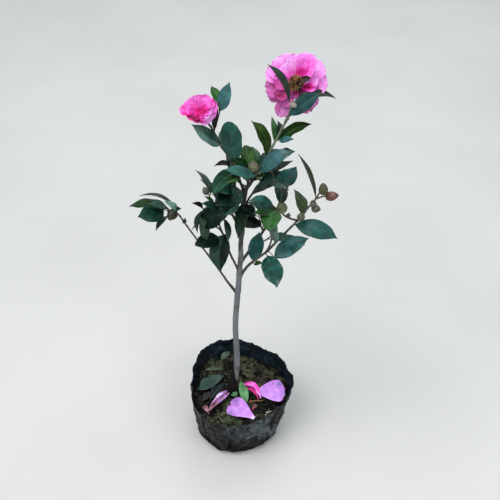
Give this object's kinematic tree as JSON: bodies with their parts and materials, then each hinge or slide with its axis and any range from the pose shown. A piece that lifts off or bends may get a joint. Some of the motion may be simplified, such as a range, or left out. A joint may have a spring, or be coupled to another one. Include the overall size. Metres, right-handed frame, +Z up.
{
  "type": "camellia shrub in a grow bag",
  "caption": "Young camellia shrub with a slender clear stem, leafy boughs and open pink flowers, rooted in a soft black grow bag of soil.",
  "frame": {"origin": "middle of the grow bag's flat underside", "axes": "+Z up along the trunk, -Y towards the side the plant is seen from, +X towards the taller flower"},
  "size_m": [0.281, 0.1848, 0.6989],
  "materials": {
    "bag": "satin black polythene film, creased and dusty",
    "soil": "moist crumbly soil with roots and moss",
    "bark": "smooth grey-beige young bark",
    "leaf": "glossy dark green leather-like leaf",
    "blossom": "soft pink petal"
  },
  "bodies": {
    "root": {"grow_bag": "bag", "root_ball": "soil", "trunk": "bark", "leader_right": "bark", "leader_left": "bark", "bough_left_low": "bark", "bough_left_mid": "bark", "bough_right_low": "bark", "bough_centre_left": "bark", "bough_centre_right": "bark", "bough_back_left": "bark", "bough_back_right": "bark", "bough_back_top": "bark", "blossom_top": "blossom", "blossom_left": "blossom", "foliage_top_right": "leaf", "foliage_upper_left": "leaf", "foliage_upper_right": "leaf", "foliage_centre": "leaf", "foliage_left": "leaf", "foliage_left_tip": "leaf", "foliage_right_low": "leaf", "foliage_right_tip": "leaf", "foliage_back_left": "leaf", "foliage_back_right": "leaf", "foliage_back_top": "leaf"}
  },
  "joints": []
}
